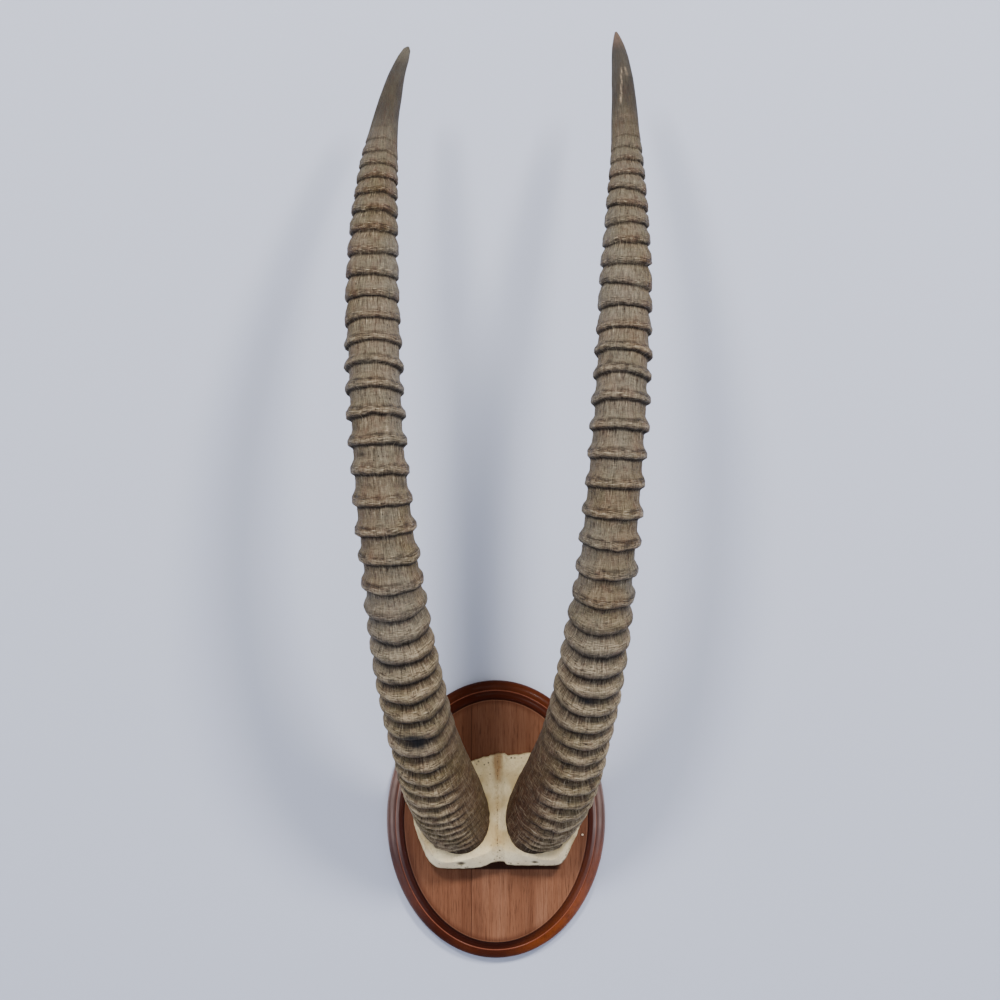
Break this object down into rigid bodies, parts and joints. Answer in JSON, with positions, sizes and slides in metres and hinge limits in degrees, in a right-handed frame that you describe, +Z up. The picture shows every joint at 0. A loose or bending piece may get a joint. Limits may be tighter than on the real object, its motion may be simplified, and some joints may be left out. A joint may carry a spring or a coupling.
{
  "type": "sable antelope horn plaque mount",
  "caption": "Pair of long ringed, backward-curving antelope horns on a bone skull plate, fixed to an oval moulded walnut wall plaque.",
  "frame": {"origin": "centre of the plaque's flat back face, on the wall plane", "axes": "+Z up the wall, along the horns; +Y into the wall; -Y out into the room; +X to the viewer's right"},
  "size_m": [0.2775, 0.2905, 0.9089],
  "materials": {
    "walnut": "brown walnut, satin to gloss lacquer, darker moulded border",
    "bone": "dry matt bone, yellow-brown stains",
    "horn": "grey-brown horn, fibrous, satin on the ring crests",
    "steel": "zinc-plated steel"
  },
  "bodies": {
    "root": {"plaque": "walnut", "skull_plate": "bone", "left_horn": "horn", "right_horn": "horn", "skull_screw_left": "steel", "skull_screw_right": "steel", "skull_screw_top": "steel", "sawtooth_hanger": "steel", "hanger_nail_left": "steel", "hanger_nail_right": "steel"}
  },
  "joints": []
}
